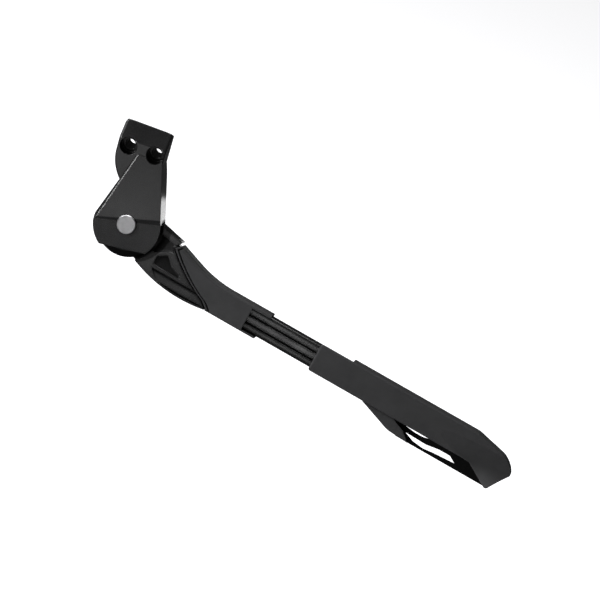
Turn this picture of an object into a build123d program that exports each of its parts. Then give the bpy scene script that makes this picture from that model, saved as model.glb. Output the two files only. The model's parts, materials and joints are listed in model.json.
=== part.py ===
from build123d import *
import os
from math import acos, cos, degrees, radians, sin, sqrt, tan

os.makedirs("parts", exist_ok=True)

# Lengths are in millimetres and angles in degrees.
# X points to the rear of the bicycle, Y into its frame and Z up.
# The origin lies midway between the two bolt holes, on the mounting face.

# Mounting block
HOLE_SPACING = 18.0
HOLE_D = 6.5
COUNTERBORE_D = 11.4
COUNTERBORE_DEPTH = 4.6
BLOCK_LEFT_X = -16.4
BLOCK_RIGHT_X = 15.2
BLOCK_T = 15.0
BLOCK_CROWN_Z = 14.7
BLOCK_CROWN_Y = -7.0
BLOCK_BACK_Z = 10.0
BEVEL_Z = 4.2
BLOCK_LOW_Z = -26.0
BLOCK_WAIST_Z = -5.0
BLOCK_LOW_X = -7.5
BLOCK_CORNER_R = 3.2
BLOCK_EDGE_R = 1.6
BLOCK_BACK_R = 2.9
FACE_RELIEF = 0.8

# Swing of the leg: the pin leans this far out of the mounting face's normal
SWING_TILT = 18.0
PIVOT = (6.0, -18.6, -48.9)
SWING_RANGE = 85.0
SWING_CLEARANCE = 0.7

# Leg, measured in its own frame: u runs along the shaft, v across it, the pivot is (0, 0)
LEG_DROP = 9.3
LEG_W = 11.0
HUB_R = 21.3
HUB_BEVEL = 4.8
HUB_BEVEL_DEPTH = 2.6
NECK_DROP = 19.6
NECK_TOP = 17.4
NECK_BEND_R = 80.0
SHAFT_OFFSET = 14.35
SHAFT_H = 15.8
SHAFT_END_U = 205.5
SHAFT_EDGE_R = 2.0
BELLY_R = 96.0
BELLY_LOW_U = 51.5
BELLY_LOW_V = -25.4
BELLY_START_U = 5.5
BELLY_JOIN_U = 29.5
BELLY_END_U = 69.0
FLANGE_DROP = 12.9
FLANGE_TOP = 14.7
FLANGE_T = 4.3
FLANGE_END_U = 36.6
FLANGE_LOW_END_U = 33.4
GROOVE_DEPTH = 4.0
BACK_POCKET_DEPTH = 2.5
POCKET_LEAN = 18.0
POCKET_LOW_DEPTH = 1.0
POCKET_HUB_R = 23.0
POCKET_END_U = 33.0
POCKET_CORNER = (36.0, -1.8)
POCKET_R = 0.8
BAR_RISE = 30.7
BAR_DISTANCE = 18.1
BAR_W = 2.4
BAR_END_U = 32.2
LOWER_POCKET_U = 26.2
LOWER_POCKET_CORNER = (38.0, -10.3)
LOWER_POCKET_END_U = 49.0
NECK_RIB_W = 2.1
RIB_W = 3.8
GROOVE_W = 1.5
UPPER_GROOVE_U = 53.5
LOWER_GROOVE_U = 27.0
SLOPED_RIB_LEAN = 9.0
SLOPED_RIB_START = (27.5, 33.0)
SLOPED_RIB_END_U = 68.0
RIM_W = 1.2
RIM_HOLLOW_V = -22.6
CHANNEL_DEPTH = 2.5
CHANNEL_SHIFT = (-0.7, -0.9)

# Bracket cheeks on both sides of the hub
WASHER_T = 0.8
SIDE_PLAY = 0.05
CHEEK_T = 4.7
CHEEK_R = 21.9
CHEEK_LEFT = 21.1
CHEEK_TAPER = 17.2
CHEEK_TOP = 44.8
CHEEK_BOTTOM = 15.8
CHEEK_BOTTOM_RISE = 7.0
CHEEK_BEVEL_TOP = 0.8
CHEEK_BEVEL_LOW = 2.3
CHEEK_BACK_R = 5.0
CREASE_RISE = 15.6
CREASE_HEIGHT = 4.3
CREASE_BEND = 28.0
CREASE_DEPTH = 1.3
LOWER_FACE_LEAN = 2.5
LOWER_FACE_TURN = 1.2
SLOT_LEFT_TOP = 17.0

# Swing stops: a lug of the bracket in a notch of the hub
LUG_R = 17.9
LUG_START = 71.5
LUG_SPAN = 22.0
LUG_CLEARANCE = 1.5
NOTCH_CLEARANCE = 0.6

# Pivot pin, bush, washers and retaining ring
PIN_D = 10.0
PIN_HEAD_D = 12.4
PIN_HEAD_T = 3.4
PIN_PROUD = 0.5
PIN_CHAMFER = 0.5
PIN_TAIL = 2.6
FIT = 0.03
BUSH_WALL = 1.5
WASHER_D = 18.4
RING_T = 1.0
RING_D = 15.0
RING_GROOVE_DEPTH = 0.3
RING_GAP_ANGLE = 50.0

# Detent ball and spring in the rear face of the hub
DETENT_R = 12.6
DETENT_ANGLE = -45.0
BALL_D = 6.0
BALL_HOLE_D = 6.3
BALL_HOLE_DEPTH = 9.0
BALL_PROUD = 0.55
DIMPLE_D = 4.2
DIMPLE_DEPTH = 0.8
DIMPLE_TAPER = 45.0
SPRING_D = 5.4
SPRING_WIRE = 0.7
SPRING_COILS = 3.0

# Leg cover
COVER_FIT = 0.15
COVER_WALL = 1.45
COVER_START_U = 37.4
COVER_CORNER_U = 34.2
COVER_CORNER_V = 1.9
COVER_LOW_U = 69.4
COVER_KNEE = (65.3, -18.9)
COVER_KNEE_R = 4.0
COVER_MIDDLE = (49.0, -10.0)
COVER_CUT_U = 95.8
COVER_TOP_TONGUE_U = 109.0
COVER_LOW_TONGUE_U = 105.5
COVER_TONGUE_LAP = 2.4
COVER_LIP = 4.0
COVER_TOP_EDGE_R = 2.2
COVER_LOW_EDGE_R = 1.4
COVER_BEAD_W = 1.6
COVER_BEAD_GROOVE_W = 1.5
COVER_BEAD_GROOVE_DEPTH = 1.0

# Foot, in a frame on the axis of the shaft: u from the pivot, v from that axis
FOOT_FIT = 0.15
FOOT_WALL = 1.4
FOOT_START_U = 145.1
FOOT_SLEEVE_U = 168.0
FOOT_BORE_END_U = 241.5
FOOT_TIP_U = 259.0
FOOT_EDGE_R = 1.2
TONGUE_R = 1.5
TIP_SHOULDER = (278.7, 4.9)
TIP_BROW = (284.4, 1.8)
TIP_NOSE = (289.5, -4.6)
TIP_TOE = (279.3, -19.0)
TIP_R = 2.0
LIP_START = (262.4, -9.6)
LIP_FRONT_W = 10.5
SCOOP_R = 15.5
SCOOP_START = (238.0, -1.5)
SCOOP_END = (293.5, -5.5)
SCOOP_DEPTH = 4.0
FLARE_START_U = 183.8
FLARE_KNEE = (207.5, -18.0)
FLARE_KNEE_R = 14.0
FLARE_END = (222.6, -18.9)
FLARE_STEP = (216.7, -13.6)
FLARE_STEP_U = 206.6
FLARE_FRONT_W = 4.6
LOOP_BACK_W = -6.0
LOOP_FRONT_W = 0.0
LOOP_LEAN = 25.0
LOOP_START_U = 214.0
LOOP_LOW = -20.4
LOOP_END_U = 277.0
WINDOW_POINTS = (
    (216.8, -14.6),
    (225.0, -17.8),
    (232.8, -18.7),
    (240.0, -17.9),
    (255.4, -17.0),
    (250.2, -13.6),
    (242.5, -13.6),
    (233.4, -15.1),
)
SLIT_POINTS = ((215.0, -11.3), (224.0, -12.4), (229.5, -12.3), (234.0, -11.2))

# Lock screw of the foot
LOCK_U = 184.5
SCREW_D = 5.0
SCREW_FIT = 0.15
SCREW_HEAD_D = 9.4
SCREW_HEAD_T = 2.7
SCREW_HEAD_CHAMFER = 0.8
SCREW_SOCKET_AF = 3.0
SCREW_SOCKET_DEPTH = 1.7
SCREW_TIP_GAP = 0.1
NUT_AF = 8.0
NUT_T = 2.7
NUT_FIT = 0.1
BOSS_W = 13.0
BOSS_R = 2.0
BOSS_T = 4.9
BOSS_COVER = 0.9


def polar(radius, angle):
    return (radius * cos(radians(angle)), radius * sin(radians(angle)))


def slope_v(distance, fall, u):
    # v of the line that falls at this angle along the leg and passes the pivot at this distance
    return (distance - u * sin(radians(fall))) / cos(radians(fall))


def slope_u(distance, fall, v):
    # u of the same line
    return (distance - v * cos(radians(fall))) / sin(radians(fall))


def belly(u, inset=0.0):
    # v of the rounded lower edge of the neck
    radius = BELLY_R - inset
    return BELLY_LOW_V + BELLY_R - sqrt(radius**2 - (u - BELLY_LOW_U) ** 2)


def ring_sector(inner, outer, start, span):
    arc = CenterArc((0, 0), inner, start, span)
    far = CenterArc((0, 0), outer, start, span)
    Line(arc @ 0, far @ 0)
    Line(arc @ 1, far @ 1)


# Values that follow from the sizes above
CHEEK_IN = LEG_W / 2 + WASHER_T + SIDE_PLAY
CHEEK_OUT = CHEEK_IN + CHEEK_T
SLOT_R = HUB_R + SWING_CLEARANCE
NOTCH_R = LUG_R - NOTCH_CLEARANCE
NOTCH_START = LUG_START - LUG_CLEARANCE
NOTCH_SPAN = LUG_SPAN + SWING_RANGE + 2 * LUG_CLEARANCE
SHAFT_TOP = -SHAFT_OFFSET + SHAFT_H / 2
SHAFT_LOW = -SHAFT_OFFSET - SHAFT_H / 2
COVER_STEP = COVER_FIT + COVER_WALL
COVER_W = LEG_W / 2 + COVER_STEP
SEAT = NECK_TOP - COVER_STEP
BUSH_D = PIN_D + 2 * BUSH_WALL
FOOT_STEP = FOOT_FIT + FOOT_WALL
FOOT_HALF_H = SHAFT_H / 2 + FOOT_STEP
BORE_HALF_H = SHAFT_H / 2 + FOOT_FIT
FOOT_W = LEG_W / 2 + FOOT_STEP

swing = Plane(
    origin=PIVOT,
    x_dir=(1, 0, 0),
    z_dir=(0, -cos(radians(SWING_TILT)), sin(radians(SWING_TILT))),
)
drop = radians(LEG_DROP)
leg_frame = Plane(
    origin=PIVOT,
    x_dir=swing.x_dir * cos(drop) - swing.y_dir * sin(drop),
    z_dir=swing.z_dir,
)
shaft_frame = Plane(
    origin=leg_frame.from_local_coords((0, -SHAFT_OFFSET, 0)),
    x_dir=leg_frame.x_dir,
    z_dir=leg_frame.z_dir,
)
pin_axis = Axis(PIVOT, swing.z_dir)
turning = Plane(origin=PIVOT, x_dir=swing.x_dir, z_dir=-swing.y_dir)


def beside_front(edge):
    # true for the edges on the left and the right of the block's front and of its bevel
    return edge.center().Y < BLOCK_CROWN_Y and edge.bounding_box().size.Z > BLOCK_EDGE_R


# Mounting block with a crowned top, a bevel towards the viewer and a waist on its left
with BuildPart() as block:
    with BuildSketch(Plane.YZ.offset(BLOCK_LEFT_X)):
        with BuildLine():
            Polyline(
                (0, BLOCK_LOW_Z),
                (0, BLOCK_BACK_Z),
                (BLOCK_CROWN_Y, BLOCK_CROWN_Z),
                (-BLOCK_T, BEVEL_Z),
                (-BLOCK_T, BLOCK_LOW_Z),
                close=True,
            )
        make_face()
    extrude(amount=BLOCK_RIGHT_X - BLOCK_LEFT_X)
    back_right = block.edges().filter_by(Axis.Z).group_by(Axis.Y)[-1].sort_by(Axis.X)[-1]
    fillet(back_right, radius=BLOCK_BACK_R)
    with BuildSketch(Plane.XZ) as block_outline:
        with BuildLine():
            Polyline(
                (BLOCK_LOW_X, BLOCK_LOW_Z),
                (BLOCK_RIGHT_X, BLOCK_LOW_Z),
                (BLOCK_RIGHT_X, BLOCK_CROWN_Z),
                (BLOCK_LEFT_X, BLOCK_CROWN_Z),
            )
            left_side = Line((BLOCK_LEFT_X, BLOCK_CROWN_Z), (BLOCK_LEFT_X, BLOCK_WAIST_Z))
            TangentArc(left_side @ 1, (BLOCK_LOW_X, BLOCK_LOW_Z), tangent=left_side % 1)
        make_face()
        fillet(block_outline.vertices().group_by(Axis.Y)[-1], radius=BLOCK_CORNER_R)
    extrude(amount=BLOCK_T, mode=Mode.INTERSECT)
    fillet(block.edges().filter_by(beside_front), radius=BLOCK_EDGE_R)

# Bracket: tapered cheeks, slot for the hub, stop lug, mounting block, bolt holes and pin seat
bottom_normal = -90.0 + CHEEK_BOTTOM_RISE
bottom_half = degrees(acos(CHEEK_BOTTOM / CHEEK_R))
left_start = 180 - CHEEK_TAPER + degrees(acos(CHEEK_LEFT / CHEEK_R))
left_span = 360 + bottom_normal - bottom_half - left_start
right_start = bottom_normal + bottom_half
taper = radians(CHEEK_TAPER)
top_left = ((CHEEK_TOP * sin(taper) - CHEEK_LEFT) / cos(taper), CHEEK_TOP)
top_right = ((CHEEK_R - CHEEK_TOP * sin(taper)) / cos(taper), CHEEK_TOP)
flange_normal = 90.0 - FLANGE_DROP - LEG_DROP
flange_touch = polar(FLANGE_TOP + SWING_CLEARANCE, flange_normal)
flange_reach = polar(SLOT_R * 3, flange_normal - 90.0)
slot_far = SLOT_R * 3
rise = radians(CREASE_RISE)
bend = radians(CREASE_BEND)
lean = radians(LOWER_FACE_LEAN)
along_crease = swing.x_dir * cos(rise) + swing.y_dir * sin(rise)
above_crease = swing.y_dir * cos(rise) - swing.x_dir * sin(rise)
# bevel that widens down the left edge of the front cheek, at 45 degrees to it
left_out = polar(1, 180 - CHEEK_TAPER)
left_low = polar(CHEEK_R, left_start)
bevel_low = (left_low[0] - CHEEK_BEVEL_LOW * left_out[0], left_low[1] - CHEEK_BEVEL_LOW * left_out[1])
bevel_top = (top_left[0] - CHEEK_BEVEL_TOP * left_out[0], top_left[1] - CHEEK_BEVEL_TOP * left_out[1])
bevel_start = Vector(*swing.from_local_coords((*bevel_low, CHEEK_OUT)))
bevel_along = Vector(*swing.from_local_coords((*bevel_top, CHEEK_OUT))) - bevel_start
bevel_slope = swing.x_dir * left_out[0] + swing.y_dir * left_out[1] - swing.z_dir
left_bevel = Plane(origin=bevel_start, x_dir=bevel_along, z_dir=bevel_along.cross(bevel_slope))
crease_start = Vector(*swing.from_local_coords((0, CREASE_HEIGHT, CHEEK_OUT)))
crease_face = Plane(
    origin=crease_start,
    x_dir=along_crease,
    z_dir=swing.z_dir * cos(bend) - above_crease * sin(bend),
)
lower_face = Plane(
    origin=crease_start - above_crease * (CREASE_DEPTH / tan(bend)) - swing.z_dir * CREASE_DEPTH,
    x_dir=along_crease,
    z_dir=swing.z_dir * cos(lean) - above_crease * sin(lean) + along_crease * sin(radians(LOWER_FACE_TURN)),
)

# what is cut away below the crease: a steep band, then a face that leans back a little
with BuildPart() as crease_cut:
    with BuildSketch(crease_face):
        Rectangle(slot_far, slot_far, align=(Align.CENTER, Align.MAX))
    extrude(amount=slot_far)
    with BuildSketch(lower_face):
        Rectangle(slot_far * 2, slot_far * 2)
    extrude(amount=CHEEK_T * 2, mode=Mode.INTERSECT)

with BuildPart() as mount_bracket:
    with BuildSketch(swing.offset(-CHEEK_OUT)):
        with BuildLine():
            left_arc = CenterArc((0, 0), CHEEK_R, left_start, left_span)
            right_arc = CenterArc((0, 0), CHEEK_R, right_start, CHEEK_TAPER - right_start)
            Line(left_arc @ 1, right_arc @ 0)
            Polyline(right_arc @ 1, top_right, top_left, left_arc @ 0)
        make_face()
    extrude(amount=2 * CHEEK_OUT)
    back_edges = mount_bracket.faces().sort_by(pin_axis)[0].edges()
    fillet(back_edges.filter_by(GeomType.LINE).sort_by(Axis.X)[-1], radius=CHEEK_BACK_R)
    with BuildSketch(left_bevel):
        Rectangle(slot_far * 2, slot_far * 2)
    extrude(amount=slot_far, mode=Mode.SUBTRACT)
    add(crease_cut.part, mode=Mode.SUBTRACT)
    # behind the rear cheek the casting stays clear of the mounting face
    with BuildSketch(Plane.XZ.offset(FACE_RELIEF)):
        Rectangle(slot_far * 2, slot_far * 4)
    extrude(amount=-slot_far, mode=Mode.SUBTRACT)
    # the slot is open below, where the neck swings, and on the right up to the folded neck
    with BuildSketch(swing):
        Circle(SLOT_R)
        with BuildLine():
            Polyline(
                (0, 0),
                flange_touch,
                (flange_touch[0] + flange_reach[0], flange_touch[1] + flange_reach[1]),
                (slot_far, -slot_far),
                (-slot_far, -slot_far),
                (-slot_far, SLOT_LEFT_TOP),
                (0, SLOT_LEFT_TOP),
                close=True,
            )
        make_face()
    extrude(amount=CHEEK_IN, both=True, mode=Mode.SUBTRACT)
    with BuildSketch(swing):
        with BuildLine():
            ring_sector(LUG_R, SLOT_R + SWING_CLEARANCE, LUG_START, LUG_SPAN)
        make_face()
    extrude(amount=CHEEK_IN, both=True)
    add(block.part)
    # bolt holes, counterbored from the front
    with Locations(Plane.XZ.offset(BLOCK_T)):
        with GridLocations(HOLE_SPACING, 1, 2, 1):
            CounterBoreHole(HOLE_D / 2, COUNTERBORE_D / 2, COUNTERBORE_DEPTH, depth=BLOCK_T)
    # pin seat: head recess in the front cheek, plain hole through both cheeks
    with BuildSketch(swing.offset(CHEEK_OUT + PIN_PROUD - PIN_HEAD_T)):
        Circle(PIN_HEAD_D / 2 + FIT)
    extrude(amount=CHEEK_T, mode=Mode.SUBTRACT)
    with BuildSketch(swing):
        Circle(PIN_D / 2 + FIT)
    extrude(amount=CHEEK_OUT + CHEEK_T, both=True, mode=Mode.SUBTRACT)
    # dimples that hold the detent ball in the folded and in the deployed position
    with BuildSketch(swing.offset(-CHEEK_IN)):
        with Locations(polar(DETENT_R, DETENT_ANGLE), polar(DETENT_R, DETENT_ANGLE - SWING_RANGE)):
            Circle(DIMPLE_D / 2)
    extrude(amount=-DIMPLE_DEPTH, taper=DIMPLE_TAPER, mode=Mode.SUBTRACT)
mount_bracket.part.label = "mount_bracket"
export_step(mount_bracket.part, "parts/mount_bracket.step")

# Outline of the leg cover, seen from the front
cover_top = SHAFT_TOP + COVER_STEP
cover_low = SHAFT_LOW - COVER_STEP
cover_bend = (slope_u(NECK_TOP, NECK_DROP, cover_top), cover_top)
cover_start = (COVER_START_U, slope_v(NECK_TOP, NECK_DROP, COVER_START_U))
cover_corner = (COVER_CORNER_U, COVER_CORNER_V)

with BuildSketch() as cover_outline:
    with BuildLine():
        Polyline(
            cover_corner,
            cover_start,
            cover_bend,
            (COVER_TOP_TONGUE_U, cover_top),
            (COVER_TOP_TONGUE_U, cover_low),
            (COVER_LOW_U, cover_low),
            (COVER_LOW_U, SHAFT_LOW),
            COVER_KNEE,
        )
        ThreePointArc(COVER_KNEE, COVER_MIDDLE, cover_corner)
    make_face()
    fillet(cover_outline.vertices().sort_by_distance((*cover_bend, 0))[0], radius=NECK_BEND_R)
    fillet(cover_outline.vertices().sort_by_distance((*COVER_KNEE, 0))[0], radius=COVER_KNEE_R)

# Leg: hub, ribbed curved neck and grooved straight shaft in one casting
neck_root = polar(SEAT, 90 - NECK_DROP)
neck_bend = (slope_u(SEAT, NECK_DROP, SHAFT_TOP), SHAFT_TOP)
flange_low = FLANGE_TOP - FLANGE_T
rib_top = -SHAFT_OFFSET + RIB_W / 2
rib_low = -SHAFT_OFFSET - RIB_W / 2
pocket_top = 90 - FLANGE_DROP - degrees(acos(flange_low / POCKET_HUB_R))
pocket_low = BAR_RISE - 90 + degrees(acos(BAR_DISTANCE / POCKET_HUB_R))
neck_rib_top = rib_low + NECK_RIB_W
groove_low = rib_low - GROOVE_W
hollow_half = sqrt((BELLY_R - RIM_W) ** 2 - (BELLY_LOW_V + BELLY_R - RIM_HOLLOW_V) ** 2)


def lengthwise(edge):
    # true for the long edges of the shaft and the neck
    return edge.length > SHAFT_H + SHAFT_EDGE_R and leg_frame.to_local_coords(edge.center()).X > HUB_R


def leaning_floor(point, rise, depth, lean):
    # plane that is this deep along the line that rises through the point, and deeper above it
    along = leg_frame.x_dir * cos(radians(rise)) + leg_frame.y_dir * sin(radians(rise))
    above = leg_frame.y_dir * cos(radians(rise)) - leg_frame.x_dir * sin(radians(rise))
    return Plane(
        origin=leg_frame.from_local_coords((*point, LEG_W / 2 - depth)),
        x_dir=along,
        z_dir=leg_frame.z_dir * cos(radians(lean)) + above * sin(radians(lean)),
    )


# pocket between the hub, the flange and the bar
bar_end = (BAR_END_U, slope_v(-BAR_DISTANCE, -BAR_RISE, BAR_END_U))
with BuildSketch() as upper_outline:
    with BuildLine():
        hub_side = CenterArc((0, 0), POCKET_HUB_R, pocket_low, pocket_top - pocket_low)
        Polyline(
            hub_side @ 1,
            (POCKET_END_U, slope_v(flange_low, FLANGE_DROP, POCKET_END_U)),
            POCKET_CORNER,
            bar_end,
            hub_side @ 0,
        )
    make_face()
    fillet(upper_outline.vertices(), radius=POCKET_R)

with BuildPart() as upper_pocket:
    with BuildSketch(leg_frame):
        add(upper_outline.sketch)
    extrude(amount=LEG_W)
    split(bisect_by=leaning_floor(bar_end, BAR_RISE, POCKET_LOW_DEPTH, POCKET_LEAN), keep=Keep.TOP)

# pocket between the bar and the first rib
with BuildSketch() as lower_outline:
    with BuildLine():
        Polyline(
            (LOWER_POCKET_U, neck_rib_top),
            (LOWER_POCKET_U, slope_v(-BAR_DISTANCE - BAR_W, -BAR_RISE, LOWER_POCKET_U)),
            (BAR_END_U, slope_v(-BAR_DISTANCE - BAR_W, -BAR_RISE, BAR_END_U)),
            LOWER_POCKET_CORNER,
            (LOWER_POCKET_END_U, neck_rib_top),
            close=True,
        )
    make_face()
    fillet(lower_outline.vertices(), radius=POCKET_R)

with BuildPart() as lower_pocket:
    with BuildSketch(leg_frame):
        add(lower_outline.sketch)
    extrude(amount=LEG_W)
    lower_floor = leaning_floor((LOWER_POCKET_U, neck_rib_top), 0, POCKET_LOW_DEPTH, POCKET_LEAN)
    split(bisect_by=lower_floor, keep=Keep.TOP)

# slope of the broad rib, down to the groove above it
with BuildPart() as sloped_rib:
    with BuildSketch(leg_frame):
        with BuildLine():
            Polyline(
                (SLOPED_RIB_START[0], groove_low),
                (SLOPED_RIB_END_U, groove_low),
                (SLOPED_RIB_END_U, RIM_HOLLOW_V),
                (SLOPED_RIB_START[1], RIM_HOLLOW_V),
                close=True,
            )
        make_face()
    extrude(amount=LEG_W)
    split(bisect_by=leaning_floor((SLOPED_RIB_END_U, RIM_HOLLOW_V), 0, 0, SLOPED_RIB_LEAN), keep=Keep.TOP)

# disc with a broad bevel on both sides
with BuildPart() as hub:
    with BuildSketch(turning):
        with BuildLine():
            Polyline(
                (0, LEG_W / 2),
                (HUB_R - HUB_BEVEL, LEG_W / 2),
                (HUB_R, LEG_W / 2 - HUB_BEVEL_DEPTH),
                (HUB_R, HUB_BEVEL_DEPTH - LEG_W / 2),
                (HUB_R - HUB_BEVEL, -LEG_W / 2),
                (0, -LEG_W / 2),
                close=True,
            )
        make_face()
    revolve(axis=pin_axis)

# groove round the front of the hub, as a continuation of its bevel
hub_groove_depth = HUB_BEVEL_DEPTH * (POCKET_HUB_R - HUB_R + HUB_BEVEL) / HUB_BEVEL
with BuildPart() as hub_groove:
    with BuildSketch(turning):
        with BuildLine():
            Polyline(
                (HUB_R - HUB_BEVEL, LEG_W / 2),
                (POCKET_HUB_R, LEG_W / 2 - hub_groove_depth),
                (POCKET_HUB_R, LEG_W / 2),
                close=True,
            )
        make_face()
    revolve(axis=pin_axis)

with BuildPart() as leg:
    with BuildSketch(leg_frame) as core:
        with BuildLine():
            Polyline(
                (0, 0),
                neck_root,
                neck_bend,
                (SHAFT_END_U, SHAFT_TOP),
                (SHAFT_END_U, SHAFT_LOW),
                (BELLY_JOIN_U, SHAFT_LOW),
                close=True,
            )
        make_face()
        fillet(core.vertices().sort_by_distance((*neck_bend, 0))[0], radius=NECK_BEND_R)
    extrude(amount=LEG_W / 2, both=True)
    fillet(leg.edges().filter_by(lengthwise), radius=SHAFT_EDGE_R)
    # rounded lower edge of the neck, flush with the cover
    with BuildSketch(leg_frame):
        with BuildLine():
            ThreePointArc(
                (BELLY_START_U, belly(BELLY_START_U)),
                (BELLY_LOW_U, BELLY_LOW_V),
                (BELLY_END_U, belly(BELLY_END_U)),
            )
            Polyline(
                (BELLY_END_U, belly(BELLY_END_U)),
                (BELLY_END_U, SHAFT_LOW + SHAFT_EDGE_R),
                (0, 0),
                (BELLY_START_U, belly(BELLY_START_U)),
            )
        make_face()
    extrude(amount=LEG_W / 2, both=True)
    # flange along the upper edge of the neck, as far as the cover
    with BuildSketch(leg_frame):
        with BuildLine():
            Polyline(
                polar(FLANGE_TOP, 90 - FLANGE_DROP),
                (FLANGE_END_U, slope_v(FLANGE_TOP, FLANGE_DROP, FLANGE_END_U)),
                (FLANGE_LOW_END_U, slope_v(flange_low, FLANGE_DROP, FLANGE_LOW_END_U)),
                polar(flange_low, 90 - FLANGE_DROP),
                close=True,
            )
        make_face()
    extrude(amount=LEG_W / 2, both=True)
    add(hub.part)
    add(hub_groove.part, mode=Mode.SUBTRACT)
    # on both sides: grooves beside the middle rib and a hollow above the lower rim
    for side in (1, -1):
        with BuildSketch(leg_frame.offset(side * (LEG_W / 2 - GROOVE_DEPTH))):
            with BuildLine():
                ThreePointArc(
                    (BELLY_LOW_U - hollow_half, RIM_HOLLOW_V),
                    (BELLY_LOW_U, belly(BELLY_LOW_U, RIM_W)),
                    (BELLY_LOW_U + hollow_half, RIM_HOLLOW_V),
                )
                Line((BELLY_LOW_U + hollow_half, RIM_HOLLOW_V), (BELLY_LOW_U - hollow_half, RIM_HOLLOW_V))
            make_face()
            with BuildLine():
                Polyline(
                    (UPPER_GROOVE_U, rib_top),
                    (SHAFT_END_U, rib_top),
                    (SHAFT_END_U, rib_top + GROOVE_W),
                    (UPPER_GROOVE_U, rib_top + GROOVE_W),
                    close=True,
                )
            make_face()
            with BuildLine():
                Polyline(
                    (LOWER_GROOVE_U, rib_low),
                    (SHAFT_END_U, rib_low),
                    (SHAFT_END_U, groove_low),
                    (LOWER_GROOVE_U, groove_low),
                    close=True,
                )
            make_face()
        extrude(amount=side * GROOVE_DEPTH, mode=Mode.SUBTRACT)
    # pockets of the neck: leaning floors at the front, flat ones at the back
    add(upper_pocket.part, mode=Mode.SUBTRACT)
    add(lower_pocket.part, mode=Mode.SUBTRACT)
    add(sloped_rib.part, mode=Mode.SUBTRACT)
    with BuildSketch(leg_frame.offset(-LEG_W / 2)):
        add(upper_outline.sketch)
        add(lower_outline.sketch)
    extrude(amount=BACK_POCKET_DEPTH, mode=Mode.SUBTRACT)
    # channel along the front edge of the cover
    with BuildSketch(leg_frame.offset(LEG_W / 2 - CHANNEL_DEPTH)):
        with Locations(CHANNEL_SHIFT):
            add(cover_outline.sketch)
        add(cover_outline.sketch, mode=Mode.SUBTRACT)
    extrude(amount=CHANNEL_DEPTH, mode=Mode.SUBTRACT)
    # notch for the stop lug, bush bore and ball hole
    with BuildSketch(leg_frame):
        with BuildLine():
            ring_sector(NOTCH_R, SLOT_R, NOTCH_START + LEG_DROP, NOTCH_SPAN)
        make_face()
        Circle(BUSH_D / 2 + FIT)
    extrude(amount=LEG_W / 2, both=True, mode=Mode.SUBTRACT)
    with BuildSketch(leg_frame.offset(-LEG_W / 2)):
        with Locations(polar(DETENT_R, DETENT_ANGLE + LEG_DROP)):
            Circle(BALL_HOLE_D / 2)
    extrude(amount=BALL_HOLE_DEPTH, mode=Mode.SUBTRACT)
leg.part.label = "leg"
export_step(leg.part, "parts/leg.step")

# Leg cover: a shell clipped over the neck from the front, with hooked lips behind the leg
def along_face(edge):
    # true for edges of the front and back faces behind the cover's first corner
    place = leg_frame.to_local_coords(edge.center())
    return abs(place.Z) > LEG_W / 2 and place.X > COVER_START_U and edge.length > COVER_TOP_EDGE_R


def along_top(edge):
    return along_face(edge) and leg_frame.to_local_coords(edge.center()).Y > SHAFT_TOP


def along_bottom(edge):
    return along_face(edge) and leg_frame.to_local_coords(edge.center()).Y < SHAFT_LOW


with BuildPart() as leg_cover:
    with BuildSketch(leg_frame):
        add(cover_outline.sketch)
    extrude(amount=COVER_W, both=True)
    fillet(leg_cover.edges().filter_by(along_top), radius=COVER_TOP_EDGE_R)
    fillet(leg_cover.edges().filter_by(along_bottom), radius=COVER_LOW_EDGE_R)
    # groove that sets off a bead along the front edge
    with BuildSketch(leg_frame.offset(COVER_W - COVER_BEAD_GROOVE_DEPTH)):
        with Locations((COVER_BEAD_W, 0)):
            add(cover_outline.sketch)
        with Locations((COVER_BEAD_W + COVER_BEAD_GROOVE_W, 0)):
            add(cover_outline.sketch, mode=Mode.SUBTRACT)
    extrude(amount=COVER_WALL, mode=Mode.SUBTRACT)
    # room for the leg
    with BuildSketch(leg_frame):
        add(core.sketch_local)
        offset(amount=COVER_FIT, kind=Kind.INTERSECTION)
    extrude(amount=LEG_W / 2 + COVER_FIT, both=True, mode=Mode.SUBTRACT)
    # opening at the back between the lips
    with BuildSketch(leg_frame.offset(-LEG_W / 2)):
        add(cover_outline.sketch)
        offset(amount=-COVER_LIP, kind=Kind.INTERSECTION)
    extrude(amount=-COVER_W, mode=Mode.SUBTRACT)
    # the front stops short of the tongues that run on along the top and the bottom
    with BuildSketch(leg_frame.offset(LEG_W / 2)):
        with BuildLine():
            Polyline(
                (COVER_CUT_U, cover_top - COVER_TONGUE_LAP),
                (SHAFT_END_U, cover_top - COVER_TONGUE_LAP),
                (SHAFT_END_U, cover_low + COVER_WALL),
                (COVER_CUT_U, cover_low + COVER_WALL),
                close=True,
            )
        make_face()
    extrude(amount=COVER_W, mode=Mode.SUBTRACT)
    with BuildSketch(leg_frame):
        with BuildLine():
            Polyline(
                (COVER_LOW_TONGUE_U, -SHAFT_OFFSET),
                (SHAFT_END_U, -SHAFT_OFFSET),
                (SHAFT_END_U, cover_low - COVER_WALL),
                (COVER_LOW_TONGUE_U, cover_low - COVER_WALL),
                close=True,
            )
        make_face()
    extrude(amount=2 * COVER_W, both=True, mode=Mode.SUBTRACT)
leg_cover.part.label = "leg_cover"
export_step(leg_cover.part, "parts/leg_cover.step")

# Foot: sleeve with a front tongue, flared loop with two openings, tip with a scoop, boss for the lock screw
lock_frame = Plane(
    origin=shaft_frame.from_local_coords((LOCK_U, 0, 0)),
    x_dir=shaft_frame.x_dir,
    z_dir=-shaft_frame.z_dir,
)
scoop_from = shaft_frame.from_local_coords((*SCOOP_START, FOOT_W + SCOOP_R))
scoop_to = shaft_frame.from_local_coords((*SCOOP_END, FOOT_W + SCOOP_R - SCOOP_DEPTH))

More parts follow.
